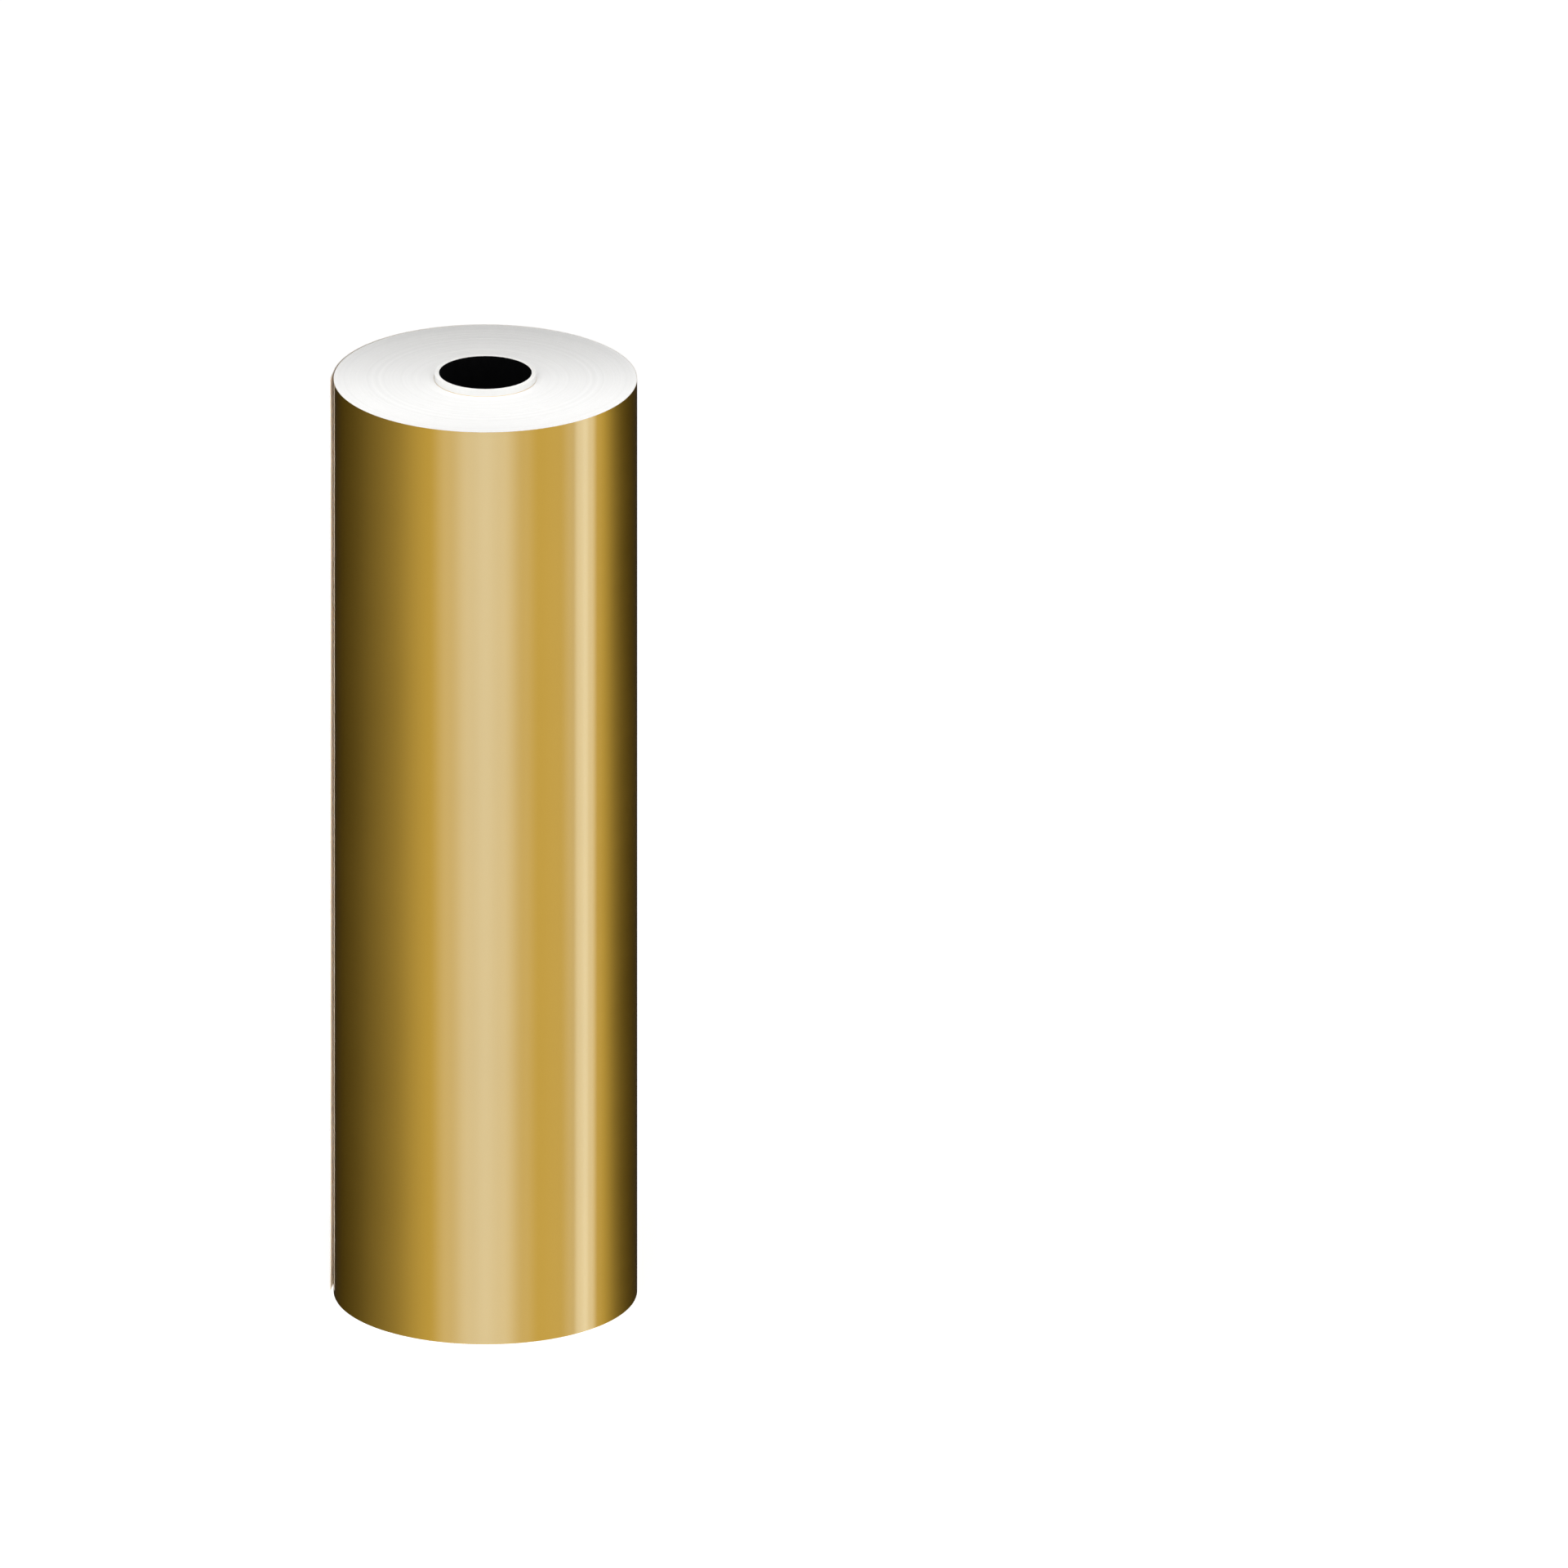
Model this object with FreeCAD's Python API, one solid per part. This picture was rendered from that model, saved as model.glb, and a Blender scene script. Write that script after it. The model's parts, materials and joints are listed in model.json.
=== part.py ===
# Roll of sign vinyl, standing on end: a strip of gold film, adhesive and release liner, wound
# film side out on a spiral-wound paper core. Millimetres, +Z up along the core's axis. The
# origin is on the axis, in the face that the roll stands on.
#
# A strip that is wound up climbs by its own thickness in each turn. That spiral is drawn here
# as half turns about two centres half a thickness apart, so every face is a true cylinder and
# each half turn runs smoothly into the next.
import FreeCAD
import Part

import math
import os
from collections import namedtuple

from FreeCAD import Vector

# ---- the web: the strip that is wound up
WEB_WIDTH = 610.0         # the roll's height as it stands
WEB_LENGTH = 91440.0      # what a full roll carries
FILM = 0.080              # gold face film
ADHESIVE = 0.030          # pressure-sensitive coat on the film's back
LINER = 0.165             # siliconed paper that carries both

# ---- the core: a tube of glued paper plies
CORE_BORE = 57.15         # inside diameter, for the spindle
INNER_PLY = 0.4           # black paper, seen in the bore
BODY_PLY = 0.8            # pale board
BODY_PLIES = 3
OUTER_PLY = 0.4           # smooth white paper
CORE_EXCESS = 4.0         # the core is this much longer than the web is wide
STRIP_WIDTH = 110.0       # of the paper strip that a ply is wound from
PLY_SEAM = 1.0            # open butt seam between the strip's edges
INNER_SEAM_ANGLE = 215.0  # where the inner ply's seam meets the core's top, about the axis
OUTER_SEAM_ANGLE = 90.0   # and the outer ply's

# ---- the free end of the web, as angles about the core's axis from +X towards +Y
TAIL_EDGE_ANGLE = 180.0   # where the cut edge lies
TAIL_SPAN = 135.0         # from the line that the tail lifts about to the cut edge
PEEL_SPAN = 65.0          # from the line that the film peels back to, to the cut edge
FLAT_END = 15.0           # the last of the tail lies straight, so its edge stands off the roll
TAIL_SPRING = 0.4         # by how much the tail's curl is wider than the roll
TAIL_CLEARANCE = 0.05     # under the tail where it leaves the roll
PEEL_CLEARANCE = 0.03     # between the peeling film's adhesive and the liner
CUT = 0.05                # width of the cuts at the tail's and the peeling film's roots

# ---- tapes and label
START_TAPES = 3           # pieces, spread evenly across the web
START_TAPE_WIDTH = 25.0   # along the web
START_TAPE_LENGTH = 120.0  # across the web
START_TAPE = 0.06         # thickness
HOLD_TAPES = 3            # pieces, spread evenly across the web
HOLD_TAPE_WIDTH = 12.0    # along the web
HOLD_TAPE_LENGTH = 90.0   # across the web
HOLD_TAPE = 0.08          # thickness
HOLD_TAPE_SETBACK = 5.0   # from where the tail's flat end begins
LABEL_WIDTH = 34.0        # round the bore
LABEL_HEIGHT = 42.0
LABEL = 0.10              # thickness
LABEL_DEPTH = 14.0        # below the core's top
LABEL_ANGLE = 270.0       # the middle of the label, about the axis

# ---- what follows from those
TURN = LINER + ADHESIVE + FILM
CORE_LENGTH = WEB_WIDTH + CORE_EXCESS
BORE_RADIUS = CORE_BORE / 2
BODY_RADIUS = BORE_RADIUS + INNER_PLY
CORE_RADIUS = BODY_RADIUS + BODY_PLIES * BODY_PLY + OUTER_PLY
ROLL_RADIUS = math.sqrt(CORE_RADIUS ** 2 + WEB_LENGTH * TURN / math.pi)
WRAP_RADIUS = ROLL_RADIUS - TURN      # inside of the last full turn

HALF_TURN = 180.0
FULL_TURN = 360.0
OVERRUN = 10.0                        # how far a cutting tool runs past what it cuts

# A stretch of the web's inner surface: an arc about a centre, from one angle to another.
Bend = namedtuple("Bend", "centre radius start end")


def along(angle):
    """Unit vector in the XY plane at an angle in degrees."""
    turn = math.radians(angle)
    return Vector(math.cos(turn), math.sin(turn), 0)


def angle_of(length, radius):
    """Angle in degrees that a length spans on a circle."""
    return math.degrees(length / radius)


def arc(centre, radius, start, end):
    circle = Part.Circle(centre, Vector(0, 0, 1), radius)
    return Part.Arc(circle, math.radians(start), math.radians(end)).toShape()


def line(start, end):
    return Part.LineSegment(start, end).toShape()


def raised(shape, height, bottom=0.0):
    """The outline's inside, drawn up from bottom."""
    shape.translate(Vector(0, 0, bottom))
    return Part.Face(shape).extrude(Vector(0, 0, height))


AXIS = Vector(0, 0, 0)
SECOND_CENTRE = along(TAIL_EDGE_ANGLE) * (TURN / 2)


def spiral(radius, end=FULL_TURN):
    """Bends for a turn, or part of one, whose inside starts at radius, below the tail's edge."""
    start = TAIL_EDGE_ANGLE
    halves = [
        Bend(AXIS, radius, start, start + min(end, HALF_TURN)),
        Bend(SECOND_CENTRE, radius + TURN / 2, start + HALF_TURN, start + end),
    ]
    return [bend for bend in halves if bend.end > bend.start]


def outline_at(bends, height, flat_end):
    """The edges of the web's section at a height above its inner surface, and its end points."""
    edges = [arc(b.centre, b.radius + height, b.start, b.end) for b in bends]
    first, last = bends[0], bends[-1]
    begin = first.centre + along(first.start) * (first.radius + height)
    finish = last.centre + along(last.end) * (last.radius + height)
    if flat_end:
        tip = finish + along(last.end + 90) * flat_end
        edges.append(line(finish, tip))
        finish = tip
    return edges, begin, finish


def sheet(bends, low, high, flat_end=0.0, height=WEB_WIDTH, bottom=0.0):
    """A layer of the web between two heights above its inner surface."""
    inside, inside_begin, inside_finish = outline_at(bends, low, flat_end)
    outside, outside_begin, outside_finish = outline_at(bends, high, flat_end)
    ends = [line(inside_begin, outside_begin), line(inside_finish, outside_finish)]
    wire = Part.Wire(Part.__sortEdges__(inside + outside + ends))
    return raised(wire, height, bottom)


def tapes(bends, low, high, length, count):
    """Short pieces of tape on a stretch of the web, spread evenly across it."""
    room = WEB_WIDTH / count
    first = (room - length) / 2
    return Part.makeCompound([
        sheet(bends, low, high, height=length, bottom=first + number * room)
        for number in range(count)
    ])


def web_layers(bends, flat_end=0.0, gap=0.0):
    """The adhesive and the film on a stretch of liner, lifted off it by a gap."""
    glue_top = LINER + ADHESIVE
    adhesive = sheet(bends, LINER + gap, glue_top + gap, flat_end)
    film = sheet(bends, glue_top + gap, TURN + gap, flat_end)
    return adhesive, film


def turn_outline(radius):
    """A closed outline round a whole turn, with the step where the web climbs on itself."""
    bends = spiral(radius)
    edges, begin, finish = outline_at(bends, 0.0, 0.0)
    return Part.Wire(Part.__sortEdges__(edges + [line(finish, begin)]))


def tube(inner, outer, height):
    return Part.makeCylinder(outer, height).cut(Part.makeCylinder(inner, height))


def seam_pitch(radius):
    """Climb per turn of a strip that covers the tube with its edges side by side."""
    girth = 2 * math.pi * radius
    return STRIP_WIDTH * girth / math.sqrt(girth ** 2 - STRIP_WIDTH ** 2)


def wound_ply(inner, outer, seam_angle):
    """A ply wound from one strip of paper: a tube with its helical butt seam open. The seam
    meets the tube's top at seam_angle about the axis."""
    middle = (inner + outer) / 2
    pitch = seam_pitch(middle)
    slope = math.atan2(pitch, 2 * math.pi * middle)
    half = PLY_SEAM / math.cos(slope) / 2
    reach = (outer - inner) / 2 + (outer - inner)
    corners = [
        Vector(middle + side * reach, 0, rise)
        for side, rise in ((-1, -half), (1, -half), (1, half), (-1, half), (-1, -half))
    ]
    path = Part.Wire(Part.makeHelix(pitch, CORE_LENGTH + 2 * OVERRUN, middle).Edges)
    groove = path.makePipeShell([Part.makePolygon(corners)], True, True)
    groove.translate(Vector(0, 0, -OVERRUN))
    drawn_angle = FULL_TURN * (CORE_LENGTH + OVERRUN) / pitch
    groove.rotate(Vector(0, 0, 0), Vector(0, 0, 1), seam_angle - drawn_angle)
    return tube(inner, outer, CORE_LENGTH).cut(groove)


def core_parts():
    """The core's plies, from the bore outwards."""
    parts = {"core_inner_ply": wound_ply(BORE_RADIUS, BODY_RADIUS, INNER_SEAM_ANGLE)}
    for number in range(BODY_PLIES):
        inner = BODY_RADIUS + number * BODY_PLY
        parts[f"core_body_ply_{number + 1}"] = tube(inner, inner + BODY_PLY, CORE_LENGTH)
    parts["core_outer_ply"] = wound_ply(CORE_RADIUS - OUTER_PLY, CORE_RADIUS, OUTER_SEAM_ANGLE)
    return parts


def core_label():
    """A blank sticker on the bore's wall, near the core's top."""
    half = angle_of(LABEL_WIDTH, BORE_RADIUS) / 2
    bends = [Bend(AXIS, BORE_RADIUS, LABEL_ANGLE - half, LABEL_ANGLE + half)]
    bottom = CORE_LENGTH - LABEL_DEPTH - LABEL_HEIGHT
    return sheet(bends, -LABEL, 0.0, height=LABEL_HEIGHT, bottom=bottom)


def first_turn_parts():
    """The web's start, held to the core by pieces of tape that are pressed into the liner."""
    span = angle_of(START_TAPE_WIDTH, CORE_RADIUS)
    taped = [Bend(AXIS, CORE_RADIUS, TAIL_EDGE_ANGLE, TAIL_EDGE_ANGLE + span)]
    tape = tapes(taped, 0.0, START_TAPE, START_TAPE_LENGTH, START_TAPES)
    bends = spiral(CORE_RADIUS)
    adhesive, film = web_layers(bends)
    return {
        "start_tapes": tape,
        "first_turn_liner": sheet(bends, 0.0, LINER).cut(tape),
        "first_turn_adhesive": adhesive,
        "first_turn_film": film,
    }


def wound_turns():
    """All the turns between the first and the last, as one body with a spiral step at each side."""
    inside = raised(turn_outline(CORE_RADIUS + TURN), WEB_WIDTH)
    return raised(turn_outline(WRAP_RADIUS), WEB_WIDTH).cut(inside)


def last_turn_parts():
    """The last turn as far as the tail."""
    bends = spiral(WRAP_RADIUS, FULL_TURN - TAIL_SPAN)
    adhesive, film = web_layers(bends)
    return {
        "wrap_liner": sheet(bends, 0.0, LINER),
        "wrap_adhesive": adhesive,
        "wrap_film": film,
    }


def tail_bend(start, trim):
    """The tail's curl from an angle before the cut edge to where its end goes flat. It leaves
    the roll smoothly, on a circle wider than the roll, and stands off it more and more."""
    root = TAIL_EDGE_ANGLE + FULL_TURN - TAIL_SPAN
    centre = SECOND_CENTRE - along(root) * TAIL_SPRING
    radius = WRAP_RADIUS + TURN / 2 + TAIL_CLEARANCE + TAIL_SPRING
    flat = math.degrees(math.atan2(FLAT_END, radius))
    edge = TAIL_EDGE_ANGLE + FULL_TURN
    return Bend(centre, radius, edge - start + angle_of(trim, radius), edge - flat)


def tail_parts():
    """The free end of the web: its liner, and the film on it that stays as the rest peels."""
    whole = tail_bend(TAIL_SPAN, CUT)
    kept = whole._replace(end=tail_bend(PEEL_SPAN, 0.0).start)
    adhesive, film = web_layers([kept])
    tape_end = whole.end - angle_of(HOLD_TAPE_SETBACK, whole.radius)
    tape_start = tape_end - angle_of(HOLD_TAPE_WIDTH, whole.radius)
    taped = [whole._replace(start=tape_start, end=tape_end)]
    return {
        "tail_liner": sheet([whole], 0.0, LINER, FLAT_END),
        "tail_adhesive": adhesive,
        "tail_film": film,
        "hold_down_tapes": tapes(taped, -HOLD_TAPE, 0.0, HOLD_TAPE_LENGTH, HOLD_TAPES),
    }


def peel_parts():
    """The film at the cut edge, which peels off the liner with its adhesive."""
    adhesive, film = web_layers([tail_bend(PEEL_SPAN, CUT)], FLAT_END, PEEL_CLEARANCE)
    return {"peel_adhesive": adhesive, "peel_film": film}


def hinge_lines():
    """Where the tail lifts and where the film peels: on the film's outside, at each root."""
    tail, peel = tail_bend(TAIL_SPAN, CUT), tail_bend(PEEL_SPAN, CUT)
    return {
        "tail_lift": tail.centre + along(tail.start) * (tail.radius + TURN),
        "film_peel": peel.centre + along(peel.start) * (peel.radius + TURN + PEEL_CLEARANCE),
    }


def all_parts():
    parts = core_parts()
    parts["core_label"] = core_label()
    parts.update(first_turn_parts())
    parts["wound_turns"] = wound_turns()
    parts.update(last_turn_parts())
    parts.update(tail_parts())
    parts.update(peel_parts())
    return parts


def main():
    os.makedirs("parts", exist_ok=True)
    for name, shape in all_parts().items():
        solids = shape.Solids
        if not solids or not all(s.isValid() and s.isClosed() for s in solids):
            raise ValueError(f"{name} is not made of sound closed solids")
        shape.exportStep(f"parts/{name}.step")
        print(f"{name}: {len(solids)} solid(s), {shape.Volume / 1000:.1f} cm3")
    for name, point in hinge_lines().items():
        print(f"{name} axis at x {point.x:.4f}, y {point.y:.4f}")
    print(f"roll diameter {2 * ROLL_RADIUS:.2f}, turns {(ROLL_RADIUS - CORE_RADIUS) / TURN:.1f}")


main()
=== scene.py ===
import json
import math

import bmesh
import bpy
import numpy as np
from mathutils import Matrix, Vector


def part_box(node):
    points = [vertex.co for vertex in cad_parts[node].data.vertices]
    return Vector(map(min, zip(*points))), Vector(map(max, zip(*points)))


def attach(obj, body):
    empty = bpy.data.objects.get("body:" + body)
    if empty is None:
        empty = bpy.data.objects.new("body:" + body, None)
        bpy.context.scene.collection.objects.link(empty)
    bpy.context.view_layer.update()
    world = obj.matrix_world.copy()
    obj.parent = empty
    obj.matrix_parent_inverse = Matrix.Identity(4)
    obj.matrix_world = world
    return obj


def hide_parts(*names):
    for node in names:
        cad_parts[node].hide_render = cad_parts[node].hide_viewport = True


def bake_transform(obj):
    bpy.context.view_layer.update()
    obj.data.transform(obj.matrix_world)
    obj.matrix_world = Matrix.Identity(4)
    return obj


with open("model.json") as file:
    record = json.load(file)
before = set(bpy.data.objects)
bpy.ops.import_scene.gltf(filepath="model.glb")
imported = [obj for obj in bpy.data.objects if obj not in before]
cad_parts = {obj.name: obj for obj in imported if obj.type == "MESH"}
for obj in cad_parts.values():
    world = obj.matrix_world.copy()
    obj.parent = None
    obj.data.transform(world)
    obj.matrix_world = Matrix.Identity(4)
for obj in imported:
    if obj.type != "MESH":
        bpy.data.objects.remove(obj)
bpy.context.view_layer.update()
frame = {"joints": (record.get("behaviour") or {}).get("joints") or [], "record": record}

MM = 0.001
SEED = 7

# ---- sizes, from the frame


def reach(node):
    """A round node's outer radius, which every layer has a corner at on azimuth 0."""
    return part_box(node)[1].x


mounts = {m["name"]: m for m in frame["record"]["mounts"]}
joints = {j["name"]: j for j in frame["joints"]}
BORE_RADIUS = mounts["core_bore"]["dims"]["r_mm"] * MM
CORE_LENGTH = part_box("core_body_ply_1")[1].z
CORE_RADIUS = reach("core_outer_ply")
WEB_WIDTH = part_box("wound_turns")[1].z
PACK_RADIUS = reach("wound_turns")          # under the last turn
LINER = reach("wrap_liner") - PACK_RADIUS
GLUE = reach("wrap_adhesive") - PACK_RADIUS  # top of the adhesive, above the liner's inner face
TURN = reach("wrap_film") - PACK_RADIUS

# ---- the free end of the web, as the CAD has it
TAIL_EDGE = 180.0          # azimuth of the cut edge
FLAT_END = 15.0 * MM
TAIL_SPRING = 0.4 * MM
TAIL_CLEARANCE = 0.05 * MM
PEEL_CLEARANCE = 0.03 * MM
EASE = 13.0 * MM           # length over which a clearance opens from nothing

# ---- the core's plies and the tapes
STRIP_WIDTH = 110.0 * MM   # of the paper that a spiral ply is wound from
PLY_SEAM = 1.0 * MM        # between the strip's edges
INNER_SEAM = 215.0         # azimuth where the inner ply's seam meets the core's top
OUTER_SEAM = 90.0          # and the outer ply's
BOARD_FRAY = 0.05 * MM     # how rough the board plies' cut ends are
BOARD_CORNER = 0.12 * MM   # how much their corners are broken
LABEL = 0.10 * MM          # thickness
LABEL_AZIMUTH = 270.0      # the middle of the label
TAPES = 3                  # pieces of each tape, spread evenly up the web
START_TAPE_WIDTH = 25.0 * MM
START_TAPE = 0.06 * MM     # thickness
HOLD_TAPE_WIDTH = 12.0 * MM
HOLD_TAPE = 0.08 * MM      # thickness
HOLD_TAPE_SETBACK = 5.0 * MM  # from where the tail's flat end begins

EDGE_RELIEF = 0.30 * MM    # how unevenly the wound edges lie

# ---- fineness of the meshes
ARC_STEP = 1.25 * MM       # along the web
LABEL_STEP = 0.5 * MM      # round the bore
WEB_ROWS = 12              # up the web
MOVING_ROWS = 24           # up the stretches of web that bend
LABEL_ROWS = 20
TAPE_ROWS = 6
TAPE_COLUMNS = 14
FLAT_COLUMNS = 9           # along the tail's flat end
CORE_SIDES = 144
PACK_SIDES = 200
SEAM_ROWS = 6              # across a spiral ply's strip
SHARP = math.radians(35)   # edges that bend by more than this stay sharp
END_STEPS = np.array([0.0, 0.05, 0.2, 0.6]) * MM  # finer steps at a path's ends


# ------------------------------------------------------------------ mesh helpers


def make_piece(name, vertices, faces):
    """A smooth-shaded mesh with its sharp edges kept, from vertices and faces of any size."""
    mesh = bpy.data.meshes.new(name)
    mesh.from_pydata([tuple(v) for v in vertices], [], faces)
    bm = bmesh.new()
    bm.from_mesh(mesh)
    bmesh.ops.remove_doubles(bm, verts=bm.verts, dist=1e-7)
    bmesh.ops.recalc_face_normals(bm, faces=bm.faces)
    bm.to_mesh(mesh)
    bm.free()
    mesh.shade_smooth()
    mesh.set_sharp_from_angle(angle=SHARP)
    piece = bpy.data.objects.new(name, mesh)
    bpy.context.scene.collection.objects.link(piece)
    return piece


def ring_faces(columns, loop, closed):
    """Quads between consecutive columns of a closed loop of vertices; closed joins last to first."""
    faces = []
    for c in range(columns if closed else columns - 1):
        after = (c + 1) % columns
        for i in range(loop):
            j = (i + 1) % loop
            faces.append((c * loop + i, c * loop + j, after * loop + j, after * loop + i))
    return faces


# ------------------------------------------------------------------ the web's path


def arc(centre, radius, start, end, step=ARC_STEP):
    """Points and outward normals along an arc, with finer steps at both ends so that the
    shading runs on across a joint between pieces."""
    length = math.radians(end - start) * radius
    count = max(2, int(length / step))
    middle = np.linspace(END_STEPS[-1], length - END_STEPS[-1], count)[1:-1]
    along = np.concatenate([END_STEPS, middle, (length - END_STEPS)[::-1]])
    angles = np.radians(start) + along / radius
    normals = np.stack([np.cos(angles), np.sin(angles)], 1)
    return np.asarray(centre) + radius * normals, normals


def joined(*stretches):
    """One path from stretches laid end to end: points, normals and length from the start."""
    points = np.vstack([p if i == 0 else p[1:] for i, (p, _) in enumerate(stretches)])
    normals = np.vstack([n if i == 0 else n[1:] for i, (_, n) in enumerate(stretches)])
    steps = np.linalg.norm(np.diff(points, axis=0), axis=1)
    return points, normals, np.concatenate([[0.0], np.cumsum(steps)])


def unit(azimuth):
    return np.array([math.cos(math.radians(azimuth)), math.sin(math.radians(azimuth))])


def smooth(x):
    x = np.clip(x, 0.0, 1.0)
    return x * x * (3 - 2 * x)


def azimuth_of(joint, centre):
    """A joint's azimuth about a centre, one turn on, where the web's last turn lies."""
    x, y = np.array(joints[joint]["pos_m"][:2]) - centre
    return math.degrees(math.atan2(y, x)) + 360


SECOND_CENTRE = unit(TAIL_EDGE) * TURN / 2
ROOT = azimuth_of("tail_lift", SECOND_CENTRE)
TAIL_CENTRE = SECOND_CENTRE - unit(ROOT) * TAIL_SPRING
TAIL_RADIUS = PACK_RADIUS + TURN / 2 + TAIL_CLEARANCE + TAIL_SPRING
PEEL = azimuth_of("film_peel", TAIL_CENTRE)


def turn_path(radius, end):
    """The inner surface of a turn that starts at the tail's edge, to an azimuth past 360."""
    return joined(
        arc((0.0, 0.0), radius, TAIL_EDGE, 360.0),
        arc(SECOND_CENTRE, radius + TURN / 2, 360.0, end),
    )


def tail_path(start):
    """The tail's inner surface from an azimuth to its cut edge. It leaves the roll smoothly."""
    flat = TAIL_EDGE + 360 - math.degrees(math.atan2(FLAT_END, TAIL_RADIUS))
    points, normals = arc(TAIL_CENTRE, TAIL_RADIUS, start, flat)
    steps = np.linspace(0.0, FLAT_END, FLAT_COLUMNS)[:, None]
    straight = points[-1] + steps * unit(flat + 90), np.repeat(normals[-1:], FLAT_COLUMNS, 0)
    points, normals, length = joined((points, normals), straight)
    lead = math.radians(start - ROOT) * TAIL_RADIUS
    sunk = TAIL_CLEARANCE * (1 - smooth((length + lead) / EASE))
    return points - normals * sunk[:, None], normals, length


def resampled(path, marks):
    """The points and outward normals at some lengths along a path."""
    points, normals, length = path
    spread = [np.interp(marks, length, column) for column in (*points.T, *normals.T)]
    normals = np.stack(spread[2:], 1)
    normals /= np.linalg.norm(normals, axis=1)[:, None]
    return np.stack(spread[:2], 1), normals


def cut_path(path, end):
    """A path as far as a length along it, with finer steps at its new end."""
    length = path[2]
    fine = end - END_STEPS[::-1]
    kept = np.concatenate([length[length < fine[0] - 0.1 * MM], fine])
    return *resampled(path, kept), kept


def web_sheet(name, path, low, high, lift=0.0, bottom=0.0, top=None, rows=WEB_ROWS):
    """A closed sheet that follows a path, between two heights above it. lift raises it, by a
    clearance that opens from nothing at the path's start."""
    points, normals, length = path
    top = WEB_WIDTH if top is None else top
    rise = (lift * smooth(length / EASE))[:, None]
    inner = points + normals * (low + rise)
    outer = points + normals * (high + rise)
    heights = np.linspace(bottom, top, rows + 1)
    loop = 2 * len(heights)
    columns = []
    for a, b in zip(inner, outer):
        columns += [(a[0], a[1], z) for z in heights]
        columns += [(b[0], b[1], z) for z in heights[::-1]]
    faces = ring_faces(len(points), loop, False)
    for start in (0, (len(points) - 1) * loop):
        for i in range(len(heights) - 1):
            faces.append((start + i, start + i + 1, start + loop - 2 - i, start + loop - 1 - i))
    return make_piece(name, columns, faces)


# ------------------------------------------------------------------ the core


def board_ply(name, inner, outer):
    """A tube of board with broken corners and slightly rough cut ends."""
    rng = np.random.default_rng(SEED + len(name))
    across = 5
    ends = BOARD_CORNER + BOARD_FRAY
    radii = np.linspace(inner + BOARD_CORNER, outer - BOARD_CORNER, across)
    count = 2 * (across + 2)
    vertices = []
    for k in range(CORE_SIDES):
        u = unit(360.0 * k / CORE_SIDES)
        top = CORE_LENGTH - BOARD_FRAY * rng.random(across)
        low = BOARD_FRAY * rng.random(across)
        profile = [(inner, CORE_LENGTH - ends)]
        profile += list(zip(radii, top))
        profile += [(outer, CORE_LENGTH - ends), (outer, ends)]
        profile += list(zip(radii[::-1], low))
        profile += [(inner, ends)]
        vertices += [(u[0] * r, u[1] * r, z) for r, z in profile]
    return make_piece(name, vertices, ring_faces(CORE_SIDES, count, True))


def spiral_ply(name, inner, outer, seam_azimuth):
    """A ply wound from one strip, as the strip itself: a helical ribbon cut off square at both
    ends, with its butt seam open. The seam meets the top at seam_azimuth."""
    girth = math.pi * (inner + outer)
    pitch = STRIP_WIDTH * girth / math.sqrt(girth ** 2 - STRIP_WIDTH ** 2)
    share = PLY_SEAM / math.cos(math.atan2(pitch, girth)) / pitch
    marks = np.linspace(share / 2, 1 - share / 2, SEAM_ROWS)
    first, last = -CORE_LENGTH / pitch - marks[-1], -marks[0]
    count = int((last - first) * CORE_SIDES)
    vertices = []
    for turn in np.linspace(first, last, count):
        x, y = unit(seam_azimuth + 360.0 * turn)
        heights = np.clip(CORE_LENGTH + (turn + marks) * pitch, 0.0, CORE_LENGTH)
        vertices += [(inner * x, inner * y, z) for z in heights]
        vertices += [(outer * x, outer * y, z) for z in heights[::-1]]
    piece = make_piece(name, vertices, ring_faces(count, 2 * len(marks), False))
    bm = bmesh.new()
    bm.from_mesh(piece.data)
    bmesh.ops.dissolve_degenerate(bm, dist=1e-6, edges=bm.edges)
    bmesh.ops.holes_fill(bm, edges=[e for e in bm.edges if e.is_boundary])
    bmesh.ops.recalc_face_normals(bm, faces=bm.faces)
    bm.to_mesh(piece.data)
    bm.free()
    piece.data.shade_smooth()
    piece.data.set_sharp_from_angle(angle=SHARP)
    return piece


# ------------------------------------------------------------------ the wound turns

PACK_INSIDE = CORE_RADIUS + TURN
PACK_TURNS = round((PACK_RADIUS - PACK_INSIDE) / TURN)
PITCH = (PACK_RADIUS - PACK_INSIDE) / PACK_TURNS


def climb(azimuth):
    """How far the web has climbed at an azimuth from 180 to 540, as two half circles do it."""
    return PITCH / 2 * (1 - math.cos(math.radians(azimuth))) if azimuth > 360 else 0.0


def edge_depths(rng, deepest):
    """How far each turn's edge lies below the highest, as a continuous function of the turn."""
    knots = np.arange(PACK_TURNS + 3)
    wander = 0.0
    for gap, share in ((31, 0.45), (7, 0.2), (1, 0.35)):
        marks = np.arange(0, len(knots) + gap, gap)
        wander = wander + share * np.interp(knots, marks, rng.random(len(marks)))
    return lambda turn: deepest * np.interp(turn, knots, wander)


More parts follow.
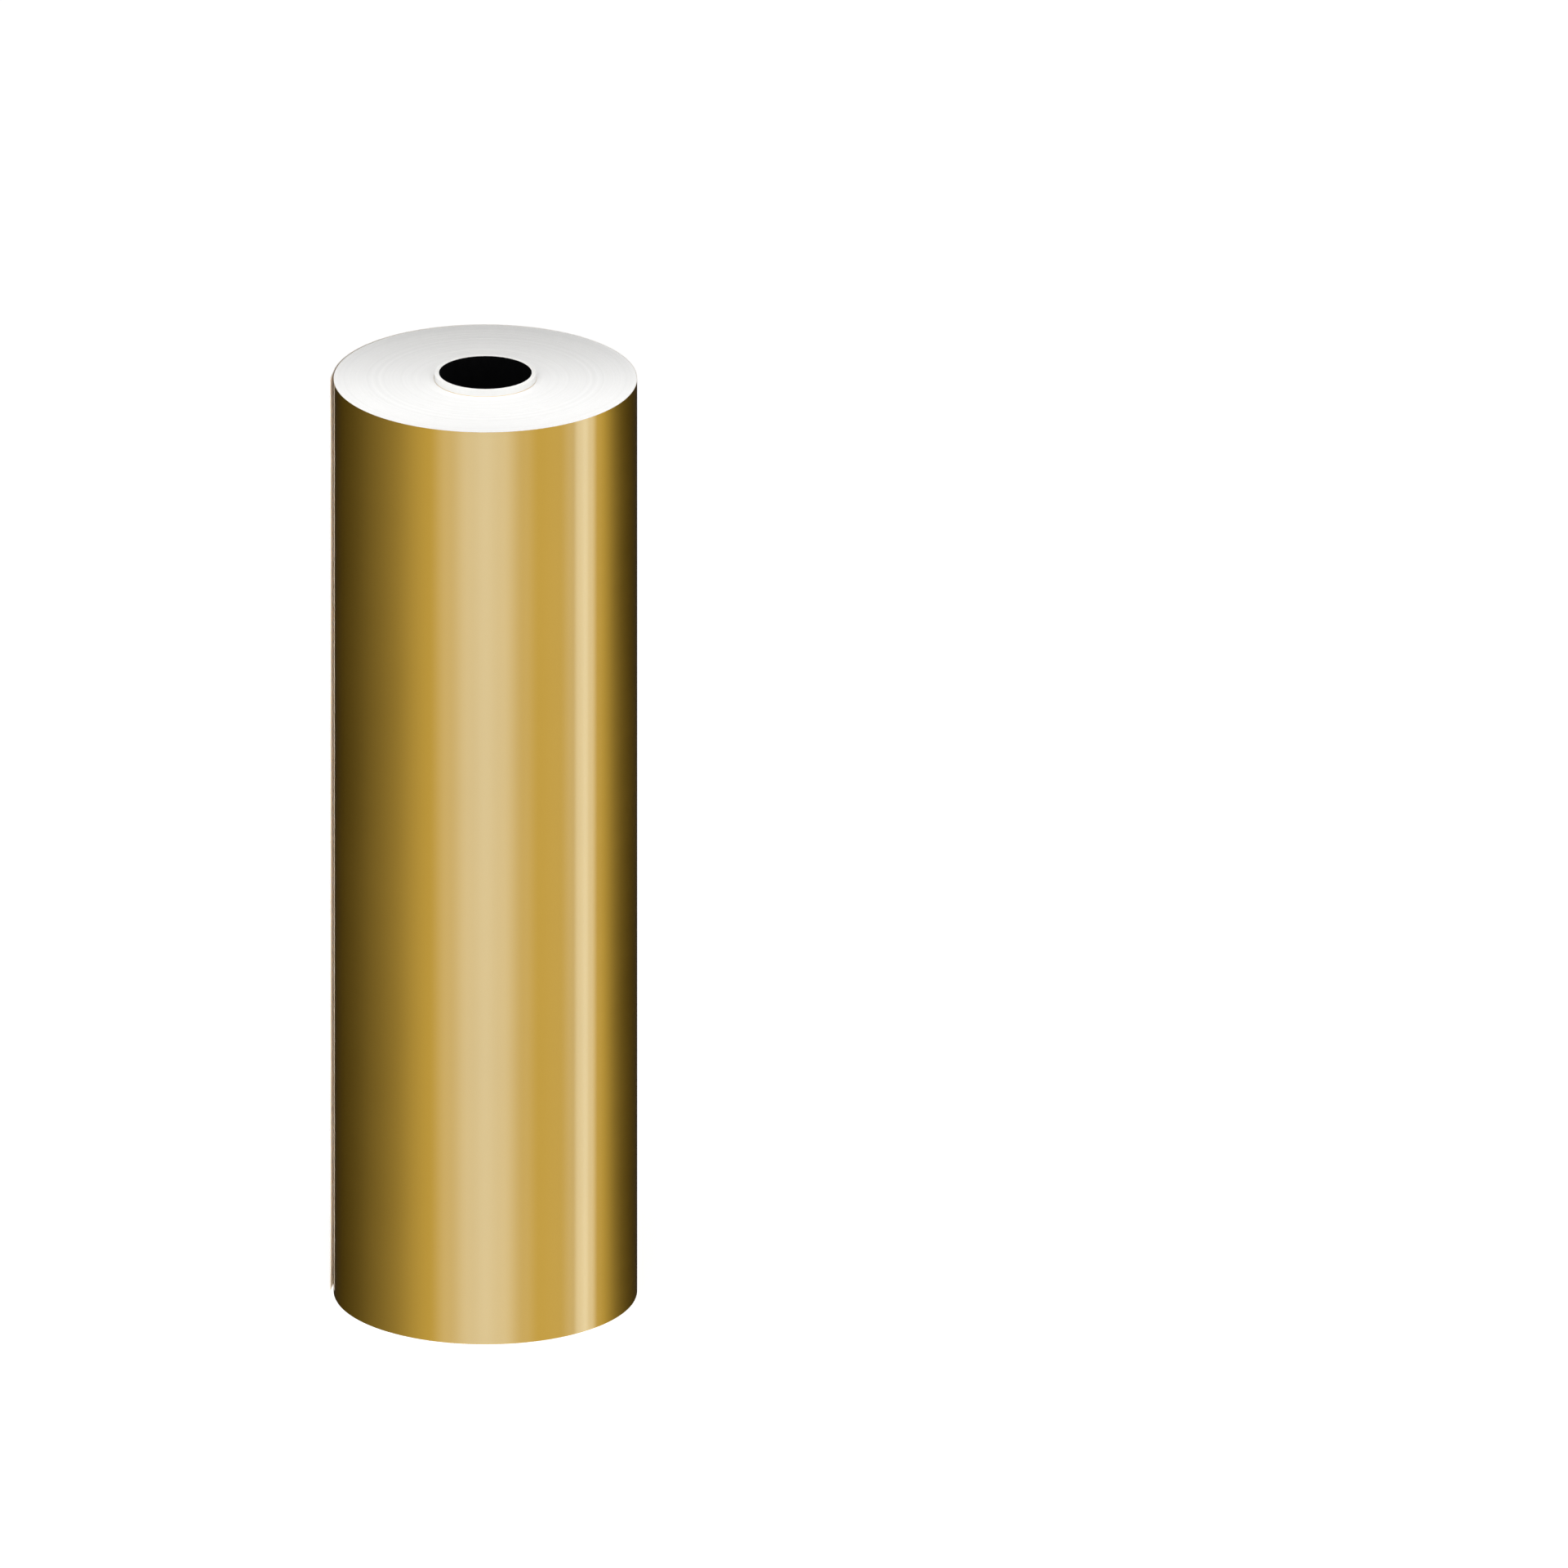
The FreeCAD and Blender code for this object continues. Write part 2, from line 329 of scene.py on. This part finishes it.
def wound_turns_piece():
    """The turns between the first and the last, as a closed solid. Its top is the edges of one
    continuous spiral, each turn a little higher or lower than the next. Its foot is flat. The
    last column meets the first one turn further out, and the foot's middle corner moves from its
    inner side to its outer side on the way."""
    below_top = edge_depths(np.random.default_rng(SEED), EDGE_RELIEF)
    treads = np.arange(PACK_TURNS)
    fine = np.array([0.0, 0.1, 0.5])
    rest = np.linspace(0.0, 360.0, PACK_SIDES + 1)[1:-1]
    vertices = []
    for swept in np.concatenate([fine, rest, 360.0 - fine[::-1]]):
        azimuth = TAIL_EDGE + swept
        x, y = unit(azimuth)
        radii = PACK_INSIDE + PITCH * np.arange(PACK_TURNS + 1) + climb(azimuth)
        sides = np.stack([radii[:-1], radii[1:]], 1).ravel()
        top = np.repeat(WEB_WIDTH - below_top(treads + swept / 360), 2)
        middle = radii[0] + PITCH + (radii[-1] - radii[0] - 2 * PITCH) * swept / 360
        vertices += [(r * x, r * y, z) for r, z in zip(sides, top)]
        vertices += [(r * x, r * y, 0.0) for r in (radii[-1], middle, radii[0])]
    loop = 2 * PACK_TURNS + 3
    piece = make_piece("wound_turns_pack", vertices, ring_faces(len(vertices) // loop, loop, False))
    bm = bmesh.new()
    bm.from_mesh(piece.data)
    bmesh.ops.holes_fill(bm, edges=[e for e in bm.edges if e.is_boundary])
    bmesh.ops.recalc_face_normals(bm, faces=bm.faces)
    for face in bm.faces:
        middle = face.calc_center_median()
        outside = math.hypot(middle.x, middle.y) > PACK_RADIUS - PITCH / 3
        face.material_index = int(outside and abs(middle.z - WEB_WIDTH / 2) < WEB_WIDTH / 4)
    bm.to_mesh(piece.data)
    bm.free()
    return piece


# ------------------------------------------------------------------ materials


class Nodes:
    """A small helper to wire a node tree."""

    def __init__(self, tree):
        self.tree = tree

    def add(self, kind, inputs=None, **settings):
        node = self.tree.nodes.new(kind)
        for key, value in settings.items():
            setattr(node, key, value)
        for key, value in (inputs or {}).items():
            self.join(value, node.inputs[key])
        return node

    def join(self, value, socket):
        if isinstance(value, bpy.types.NodeSocket):
            self.tree.links.new(value, socket)
        else:
            socket.default_value = value

    def math(self, operation, *values):
        node = self.add("ShaderNodeMath", operation=operation)
        for i, value in enumerate(values):
            self.join(value, node.inputs[i])
        return node.outputs[0]

    def noise(self, vector, scale, detail=2.0, rough=0.5):
        node = self.add("ShaderNodeTexNoise", {"Scale": scale, "Detail": detail, "Roughness": rough})
        self.join(vector, node.inputs["Vector"])
        return node.outputs["Fac"]

    def ranged(self, value, low, high, start=0.0, end=1.0):
        """value from start..end mapped to low..high, held at both ends."""
        node = self.add("ShaderNodeMapRange", {"Value": value, "From Min": start, "From Max": end,
                                               "To Min": low, "To Max": high})
        return node.outputs[0]

    def mix(self, factor, first, second):
        """A blend of two colours, whose sockets are inputs 6 and 7 and output 2 of the node."""
        node = self.add("ShaderNodeMix", data_type="RGBA")
        self.join(factor, node.inputs["Factor"])
        self.join(first, node.inputs[6])
        self.join(second, node.inputs[7])
        return node.outputs[2]

    def stretched(self, vector, scale):
        node = self.add("ShaderNodeMapping", {"Scale": scale})
        self.join(vector, node.inputs["Vector"])
        return node.outputs[0]

    def bump(self, height, distance, strength=1.0):
        node = self.add("ShaderNodeBump", {"Height": height, "Distance": distance, "Strength": strength})
        return node.outputs[0]


def azimuth_ramp(n, share, levels, colour=(1.0, 1.0, 1.0)):
    """Brightness against azimuth in one colour, from (azimuth, level) pairs in order. share is
    the azimuth's part of the full circle."""
    ramp = n.add("ShaderNodeValToRGB", {"Fac": share})
    ramp.color_ramp.interpolation = "EASE"
    stops = ramp.color_ramp.elements
    while len(stops) < len(levels):
        stops.new(1.0)
    for stop, (azimuth, _) in zip(list(stops), levels):
        stop.position = azimuth / 360 + 0.5
    for stop, (_, level) in zip(list(stops), levels):
        stop.color = (*(level * part for part in colour), 1.0)
    return ramp.outputs["Color"]


def material(name, **sockets):
    """A new material with one Principled shader: (material, nodes helper, shader, place)."""
    mat = bpy.data.materials.new(name)
    mat.use_nodes = True
    nodes = Nodes(mat.node_tree)
    mat.node_tree.nodes.clear()
    shader = nodes.add("ShaderNodeBsdfPrincipled")
    nodes.add("ShaderNodeOutputMaterial", {"Surface": shader.outputs[0]})
    for key, value in sockets.items():
        shader.inputs[key.replace("_", " ")].default_value = value
    place = nodes.add("ShaderNodeTexCoord").outputs["Object"]
    return mat, nodes, shader, place


def gold_film():
    """Metallic gold vinyl: fine flake under a clear glossy face."""
    mat, n, shader, place = material(
        "gold_vinyl_film", Metallic=1.0, Specular_Tint=(0.36, 0.34, 0.36, 1),
        Coat_Weight=1.0, Coat_IOR=1.8, Coat_Roughness=0.0,
    )
    flake = n.noise(place, 5200.0, 1.0)
    streak = n.noise(n.stretched(place, (9.0, 9.0, 170.0)), 1.0, 3.0, 0.55)
    cloud = n.noise(place, 7.0, 3.0)
    tone = n.math("ADD", n.math("MULTIPLY", flake, 0.35), n.math("MULTIPLY", cloud, 0.65))
    gold = n.mix(n.ranged(tone, 0.0, 1.0, 0.3, 0.7), (0.79, 0.485, 0.070, 1), (0.84, 0.52, 0.080, 1))
    n.join(gold, shader.inputs["Base Color"])
    rough = n.math("ADD", n.ranged(cloud, 0.28, 0.33, 0.3, 0.7), n.math("MULTIPLY", streak, 0.03))
    n.join(rough, shader.inputs["Roughness"])
    relief = n.math("ADD", n.math("MULTIPLY", flake, 0.4), n.math("MULTIPLY", streak, 0.6))
    n.join(n.bump(relief, 0.004 * MM, 0.5), shader.inputs["Normal"])
    return mat


def spiral_turn(n, place):
    """Which turn a point of the roll's end lies in, as a number that grows along the spiral."""
    xyz = n.add("ShaderNodeSeparateXYZ", {"Vector": place}).outputs
    radius = n.math("SQRT", n.math("ADD", n.math("MULTIPLY", xyz[0], xyz[0]),
                                   n.math("MULTIPLY", xyz[1], xyz[1])))
    lean = n.math("SUBTRACT", 1.0, n.math("DIVIDE", xyz[0], radius))
    half = n.math("GREATER_THAN", xyz[1], 0.0)
    climbed = n.math("MULTIPLY", n.math("MULTIPLY", lean, half), PITCH / 2)
    inside = n.math("SUBTRACT", n.math("SUBTRACT", radius, climbed), PACK_INSIDE)
    return n.math("DIVIDE", inside, PITCH)


def web_edges():
    """Slit edges of the wound web: white liner with a fine line of film in every turn."""
    mat, n, shader, place = material("web_slit_edges", Specular_IOR_Level=0.3)
    turn = spiral_turn(n, place)
    share = n.math("FRACT", turn)
    film = n.math("GREATER_THAN", share, GLUE / TURN)
    fleck = n.add("ShaderNodeTexWhiteNoise", noise_dimensions="1D")
    n.join(n.math("FLOOR", turn), fleck.inputs["W"])
    rings = n.add("ShaderNodeTexNoise", {"Scale": 0.11, "Detail": 3.0}, noise_dimensions="1D")
    n.join(turn, rings.inputs["W"])
    fibre = n.noise(place, 900.0, 3.0)
    tone = n.ranged(rings.outputs["Fac"], 0.0, 1.0, 0.3, 0.7)
    white = n.mix(tone, (0.90, 0.90, 0.895, 1), (0.955, 0.955, 0.95, 1))
    line = n.mix(film, white, (0.86, 0.85, 0.83, 1))
    shade = n.math("MULTIPLY", n.math("ADD", n.math("MULTIPLY", fleck.outputs["Value"], 0.5),
                                      n.math("MULTIPLY", fibre, 0.5)), 0.09)
    n.join(n.mix(shade, line, (0.60, 0.60, 0.58, 1)), shader.inputs["Base Color"])
    n.join(n.ranged(film, 0.72, 0.45), shader.inputs["Roughness"])
    relief = n.math("ADD", n.math("MULTIPLY", film, 0.5), n.math("MULTIPLY", fibre, 0.5))
    n.join(n.bump(relief, 0.02 * MM, 0.35), shader.inputs["Normal"])
    return mat


def paper(name, low, high, fibre_scale, fibre_depth, rough, gloss=0.35):
    """Paper or board with fibres, in two tones of one colour."""
    mat, n, shader, place = material(name, Specular_IOR_Level=gloss)
    fibres = n.noise(n.stretched(place, (1.0, 1.0, 0.45)), fibre_scale, 5.0, 0.62)
    cloud = n.noise(place, 24.0, 3.0)
    tone = n.math("ADD", n.math("MULTIPLY", fibres, 0.6), n.math("MULTIPLY", cloud, 0.4))
    n.join(n.mix(n.ranged(tone, 0.0, 1.0, 0.3, 0.7), low, high), shader.inputs["Base Color"])
    n.join(n.ranged(fibres, rough - 0.06, rough + 0.06, 0.3, 0.7), shader.inputs["Roughness"])
    n.join(n.bump(fibres, fibre_depth, 0.6), shader.inputs["Normal"])
    return mat


def release_face():
    """The liner's siliconed side: smooth white paper with a soft gloss."""
    mat, n, shader, place = material("liner_release_face", Coat_Weight=0.5, Coat_Roughness=0.18)
    cloud = n.noise(place, 60.0, 4.0)
    n.join(n.mix(cloud, (0.86, 0.87, 0.86, 1), (0.93, 0.93, 0.92, 1)), shader.inputs["Base Color"])
    n.join(n.ranged(cloud, 0.32, 0.42), shader.inputs["Roughness"])
    n.join(n.bump(n.noise(place, 700.0, 3.0), 0.01 * MM, 0.4), shader.inputs["Normal"])
    return mat


def adhesive():
    """Pressure-sensitive coat on the film's back: silvery grey, dull, with an orange-peel face."""
    mat, n, shader, place = material("adhesive_coat", Specular_IOR_Level=0.55)
    peel = n.noise(place, 420.0, 2.0)
    cloud = n.noise(place, 18.0, 3.0)
    n.join(n.mix(cloud, (0.56, 0.54, 0.49, 1), (0.68, 0.66, 0.60, 1)), shader.inputs["Base Color"])
    n.join(n.ranged(peel, 0.30, 0.44), shader.inputs["Roughness"])
    n.join(n.bump(peel, 0.03 * MM, 0.5), shader.inputs["Normal"])
    return mat


def tape():
    """Thin translucent tape, drawn as a pale glossy strip with the paper showing through."""
    mat, n, shader, place = material("tape_film", Coat_Weight=0.4, Coat_Roughness=0.12)
    wave = n.noise(n.stretched(place, (40.0, 40.0, 520.0)), 1.0, 2.0)
    n.join(n.mix(wave, (0.78, 0.74, 0.60, 1), (0.88, 0.85, 0.74, 1)), shader.inputs["Base Color"])
    n.join(n.ranged(wave, 0.22, 0.34), shader.inputs["Roughness"])
    n.join(n.bump(wave, 0.02 * MM, 0.5), shader.inputs["Normal"])
    return mat


def label_face(low, high):
    """Coated white label with one blank block of the roll's colour."""
    mat, n, shader, place = material("core_label_face", Coat_Weight=0.3, Coat_Roughness=0.25)
    xyz = n.add("ShaderNodeSeparateXYZ", {"Vector": place}).outputs
    block = 1.0
    middle, half = (low + high) / 2, (high - low) / 2
    for socket, centre, reach_to in (
        (xyz[0], middle.x, half.x * 0.62),
        (xyz[2], middle.z + half.z * 0.42, half.z * 0.38),
    ):
        off = n.math("ABSOLUTE", n.math("SUBTRACT", socket, centre))
        block = n.math("MULTIPLY", block, n.math("LESS_THAN", off, reach_to))
    fibre = n.noise(place, 600.0, 3.0)
    white = n.mix(fibre, (0.86, 0.86, 0.84, 1), (0.93, 0.93, 0.91, 1))
    n.join(n.mix(block, white, (0.62, 0.42, 0.12, 1)), shader.inputs["Base Color"])
    n.join(n.ranged(block, 0.55, 0.35), shader.inputs["Roughness"])
    n.join(n.bump(fibre, 0.01 * MM, 0.3), shader.inputs["Normal"])
    return mat


# ------------------------------------------------------------------ camera, light and floor

ELEVATION = 20.8           # of the camera, in degrees
FRAME_HEIGHT = 0.9803      # of what the picture shows, in the roll's own size
AIM = (0.1867, 0.0, 0.3388)
CAMERA_DISTANCE = 3.0
END_LAMP_SIZE = (1.0, 0.05)
END_LAMP_POWER = 0.88
END_LAMP_FRONT = 0.06      # how far in front of the axis it lies
END_LAMP_RISE = 0.165      # above the roll's end
EDGE_LAMP_WIDTH = 0.06
EDGE_LAMP_POWER = 0.30
EDGE_LAMP_SPREAD = 16.0
EDGE_LAMP_OFFSET = (0.030, -0.5, 0.0)  # from the gap behind the tail's cut edge
EDGE_X = -0.0955           # where that gap lies
FLOOR_REACH = 30.0
FLOOR_DROP = 0.2 * MM      # below the roll, so that their faces don't coincide


def make_camera():
    """A view with no perspective, from the front and above."""
    camera = bpy.data.objects.new("camera", bpy.data.cameras.new("camera"))
    camera.data.type = "ORTHO"
    camera.data.ortho_scale = FRAME_HEIGHT
    tilt = math.radians(ELEVATION)
    away = Vector((0.0, -math.cos(tilt), math.sin(tilt)))
    camera.location = Vector(AIM) + away * CAMERA_DISTANCE
    camera.rotation_euler = (math.radians(90 - ELEVATION), 0.0, 0.0)
    bpy.context.scene.collection.objects.link(camera)
    bpy.context.scene.camera = camera


# What the film sees all round: brightness against azimuth from the front, in degrees, positive
# to the right. Its flakes spread the light of broad soft panels.
PANELS = (
    (-180, 0.85), (-166, 0.20), (-150, 0.12), (-135, 0.12), (-115, 0.13), (-92, 0.23),
    (-72, 0.34), (-55, 0.57), (-43, 0.76), (-28, 0.71), (-12, 0.56), (0, 0.52), (12, 0.57),
    (30, 0.73), (66, 0.74), (76, 0.52), (82, 0.40), (87, 0.52), (93, 1.00), (100, 0.90),
    (110, 0.32), (122, 0.15), (135, 0.10), (155, 0.11), (166, 0.20), (180, 0.85),
)
# Its clear face mirrors a wide soft box at the front and a narrow one at the right.
BOXES = (
    (-44, 0.0), (-28, 1.4), (-12, 3.1), (0, 3.7), (12, 3.1), (30, 0.9), (42, 0.15),
    (58, 0.3), (70, 1.3), (76, 3.3), (82, 4.0), (88, 2.6), (96, 0.15), (104, 0.0),
)
BOX_COLOUR = (1.0, 1.0, 0.82)
UPPER_LIGHT = 0.18    # on dull surfaces, from all round
FRONT_LIGHT = 1.10    # more, from straight in front


def make_world():
    """White to the camera, soft light for dull surfaces, and for glossy ones the panels, or the
    boxes where the face is a perfect mirror."""
    world = bpy.data.worlds.new("studio")
    bpy.context.scene.world = world
    world.use_nodes = True
    world.cycles.sampling_method = "NONE"
    n = Nodes(world.node_tree)
    world.node_tree.nodes.clear()
    way = n.add("ShaderNodeTexCoord").outputs["Generated"]
    xyz = n.add("ShaderNodeSeparateXYZ", {"Vector": way}).outputs
    forward = n.math("MULTIPLY", xyz[1], -1.0)
    share = n.math("ADD", n.math("DIVIDE", n.math("ARCTAN2", xyz[0], forward), 2 * math.pi), 0.5)
    ray = n.add("ShaderNodeLightPath").outputs
    front = n.math("POWER", n.math("MAXIMUM", forward, 0.0), 2.0)
    soft = n.math("ADD", UPPER_LIGHT, n.math("MULTIPLY", front, FRONT_LIGHT))
    glossy = n.mix(ray["Is Glossy Ray"], soft, azimuth_ramp(n, share, PANELS))
    mirror = n.mix(ray["Is Singular Ray"], glossy, azimuth_ramp(n, share, BOXES, BOX_COLOUR))
    seen = n.mix(ray["Is Camera Ray"], mirror, (1.0, 1.0, 1.0, 1))
    ground = n.add("ShaderNodeBackground", {"Color": seen})
    n.add("ShaderNodeOutputWorld", {"Surface": ground.outputs[0]})


def make_lamp(name, size, power, place, aim, spread=180.0):
    """A rectangular lamp that glossy rays and the camera don't see. size is (across, up)."""
    light = bpy.data.lights.new(name, "AREA")
    light.shape = "RECTANGLE"
    light.size, light.size_y = size
    light.energy = power
    light.spread = math.radians(spread)
    lamp = bpy.data.objects.new(name, light)
    lamp.location = place
    lamp.rotation_euler = (Vector(aim) - Vector(place)).to_track_quat("-Z", "Y").to_euler()
    lamp.visible_glossy = False
    lamp.visible_camera = False
    bpy.context.scene.collection.objects.link(lamp)


def make_lamps():
    """One lamp lies over the end's front half, so the end is lit from the front edge back.
    One shines from the front into the gap behind the tail's cut edge."""
    end = Vector((0.0, -END_LAMP_FRONT, WEB_WIDTH))
    over = end + Vector((0, 0, END_LAMP_RISE))
    make_lamp("end_lamp", END_LAMP_SIZE, END_LAMP_POWER, over, end)
    edge = Vector((EDGE_X, 0.0, WEB_WIDTH / 2))
    front = edge + Vector(EDGE_LAMP_OFFSET)
    size = (EDGE_LAMP_WIDTH, WEB_WIDTH)
    make_lamp("edge_lamp", size, EDGE_LAMP_POWER, front, edge, EDGE_LAMP_SPREAD)


def make_floor():
    """A white floor that glows a little and takes no part in reflections or shadows."""
    side = FLOOR_REACH
    mesh = bpy.data.meshes.new("floor")
    corners = [(-side, -side), (side, -side), (side, side), (-side, side)]
    mesh.from_pydata([(x, y, -FLOOR_DROP) for x, y in corners], [], [(0, 1, 2, 3)])
    floor = bpy.data.objects.new("floor", mesh)
    bpy.context.scene.collection.objects.link(floor)
    look = material("floor_white", Base_Color=(0.9, 0.9, 0.9, 1), Roughness=0.9,
                    Specular_IOR_Level=0.0, Emission_Color=(1, 1, 1, 1), Emission_Strength=0.75)
    mesh.materials.append(look[0])
    floor.visible_glossy = False
    floor.visible_shadow = False


# ------------------------------------------------------------------ the pieces


def place_piece(piece, mats, slot, body, *nodes):
    """Gives a piece its materials, hides the parts that it stands for, and hangs it on its body. body is
    None for a piece that hangs on no body.
    """
    for mat in mats if isinstance(mats, tuple) else (mats,):
        piece.data.materials.append(mat)
    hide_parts(*nodes)
    if body:
        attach(piece, body)
    return piece


def make_core(mats):
    """The core's plies: two of paper, and the board between them."""
    inner_wall = reach("core_inner_ply")
    walls = [inner_wall] + [reach(f"core_body_ply_{i}") for i in (1, 2, 3)]
    # The inner ply is black paper carrying painted shade: it is painted near-perfect black so the bore's
    # lit wall reads as the shade inside the bore.
    piece = spiral_ply("core_inner_ply_strip", BORE_RADIUS, inner_wall, INNER_SEAM)
    place_piece(piece, mats["black_paper"], "black_paper", "roll", "core_inner_ply")
    piece = spiral_ply("core_outer_ply_strip", walls[-1], CORE_RADIUS, OUTER_SEAM)
    place_piece(piece, mats["white_paper"], "white_paper", "roll", "core_outer_ply")
    for i, (low, high) in enumerate(zip(walls, walls[1:]), 1):
        piece = board_ply(f"core_board_ply_{i}", low, high)
        place_piece(piece, mats["core_board"], "core_board", "roll", f"core_body_ply_{i}")


def make_label(mats):
    """A sticker on the bore's wall, near the core's top."""
    low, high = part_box("core_label")
    half = math.degrees(math.asin((high.x - low.x) / 2 / BORE_RADIUS))
    ends = LABEL_AZIMUTH - half, LABEL_AZIMUTH + half
    path = joined(arc((0.0, 0.0), BORE_RADIUS, *ends, LABEL_STEP))
    piece = web_sheet("core_label_sticker", path, -LABEL, 0.0, bottom=low.z, top=high.z,
                      rows=LABEL_ROWS)
    place_piece(piece, mats["label"], "label", "roll", "core_label")


def make_tapes(name, mats, path, low, high, node, body):
    """Pieces of tape spread evenly up the web."""
    box_low, box_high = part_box(node)
    room = WEB_WIDTH / TAPES
    size = box_high.z - box_low.z - (TAPES - 1) * room
    parts = [
        web_sheet(f"{name}_{i}", path, low, high, bottom=box_low.z + i * room,
                  top=box_low.z + i * room + size, rows=TAPE_ROWS)
        for i in range(TAPES)
    ]
    for part in parts:
        place_piece(part, mats["clear_tape"], "clear_tape", body, node)


def make_web(mats):
    """The first turn, the last turn, the tail and the peeling film, layer by layer. It gives
    back the tail's path."""
    film, glue = mats["gold_film"], mats["adhesive"]
    liner = (mats["liner_back"], mats["liner_release"])
    first = turn_path(CORE_RADIUS, TAIL_EDGE + 360)
    wrap = turn_path(PACK_RADIUS, ROOT)
    tail = tail_path(ROOT)
    kept = cut_path(tail, math.radians(PEEL - ROOT) * TAIL_RADIUS)
    peel = tail_path(PEEL)
    for name, path, nodes, under in (
        ("first_turn", first, "first_turn", "core_outer_ply_strip"),
        ("last_turn", wrap, "wrap", "wound_turns_pack"),
    ):
        for layer, low, high, mat, slot in (
            ("liner", 0.0, LINER, liner[0], "release_liner"),
            ("adhesive", LINER, GLUE, glue, "adhesive"),
            ("film", GLUE, TURN, film, "gold_film"),
        ):
            piece = web_sheet(f"{name}_{layer}_sheet", path, low, high)
            place_piece(piece, mat, slot, "roll", f"{nodes}_{layer}")
    piece = web_sheet("tail_liner_sheet", tail, 0.0, LINER, rows=MOVING_ROWS)
    two_sided(piece, tail)
    place_piece(piece, liner, "release_liner", None, "tail_liner")
    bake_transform(piece)
    for layer, low, high, mat, slot in (
        ("adhesive", LINER, GLUE, glue, "adhesive"),
        ("film", GLUE, TURN, film, "gold_film"),
    ):
        piece = web_sheet(f"tail_{layer}_sheet", kept, low, high, rows=MOVING_ROWS)
        place_piece(piece, mat, slot, None, f"tail_{layer}")
        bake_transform(piece)
        piece = web_sheet(f"peel_{layer}_sheet", peel, low, high, lift=PEEL_CLEARANCE,
                          rows=MOVING_ROWS)
        place_piece(piece, mat, slot, None, f"peel_{layer}")
        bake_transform(piece)
    return tail


def two_sided(piece, path):
    """Slot 1 for a sheet's outer side: the liner's release face."""
    points, normals, _ = path
    for face in piece.data.polygons:
        middle = np.array(face.center[:2])
        near = int(np.argmin(((points - middle) ** 2).sum(1)))
        face.material_index = int(np.dot(np.array(face.normal[:2]), normals[near]) > 0.5)


def make_tail_tapes(mats, tail):
    """The pieces of tape on the tail's inner side, which ride with it."""
    end = tail[2][-1] - FLAT_END - HOLD_TAPE_SETBACK
    marks = np.linspace(end - HOLD_TAPE_WIDTH, end, TAPE_COLUMNS)
    path = *resampled(tail, marks), marks - marks[0]
    make_tapes("hold_down_tape", mats, path, -HOLD_TAPE, 0.0, "hold_down_tapes", "tail")


def make_start_tapes(mats):
    """The pieces of tape that hold the web's start to the core."""
    span = math.degrees(START_TAPE_WIDTH / CORE_RADIUS)
    path = joined(arc((0.0, 0.0), CORE_RADIUS, TAIL_EDGE, TAIL_EDGE + span))
    make_tapes("start_tape", mats, path, 0.0, START_TAPE, "start_tapes", "roll")


def main():
    make_camera()
    make_world()
    make_lamps()
    make_floor()
    white_low, white_high = (0.90, 0.90, 0.885, 1), (0.96, 0.96, 0.95, 1)
    mats = {
        "gold_film": gold_film(),
        "web_edges": web_edges(),
        "liner_back": paper("liner_paper_back", (0.84, 0.83, 0.80, 1), (0.92, 0.91, 0.885, 1),
                            420.0, 0.02 * MM, 0.66),
        "liner_release": release_face(),
        "adhesive": adhesive(),
        # Black paper with painted shade: far darker than real black paper, so the bore's inner wall
        # stands for the shade inside the bore.
        "black_paper": paper("core_black_paper", (0.0015, 0.0015, 0.0018, 1),
                             (0.004, 0.004, 0.0045, 1), 300.0, 0.04 * MM, 0.85, 0.04),
        "white_paper": paper("core_white_paper", white_low, white_high, 380.0, 0.03 * MM, 0.6),
        "core_board": paper("core_board_stock", (0.86, 0.85, 0.82, 1), (0.95, 0.945, 0.93, 1),
                            520.0, 0.08 * MM, 0.85),
        "clear_tape": tape(),
        "label": label_face(*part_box("core_label")),
    }
    make_core(mats)
    make_label(mats)
    pack = wound_turns_piece()
    place_piece(pack, (mats["web_edges"], mats["gold_film"]), "web_edges", "roll", "wound_turns")
    make_start_tapes(mats)
    tail = make_web(mats)
    make_tail_tapes(mats, tail)


bpy.context.scene.view_settings.view_transform = "Standard"
main()
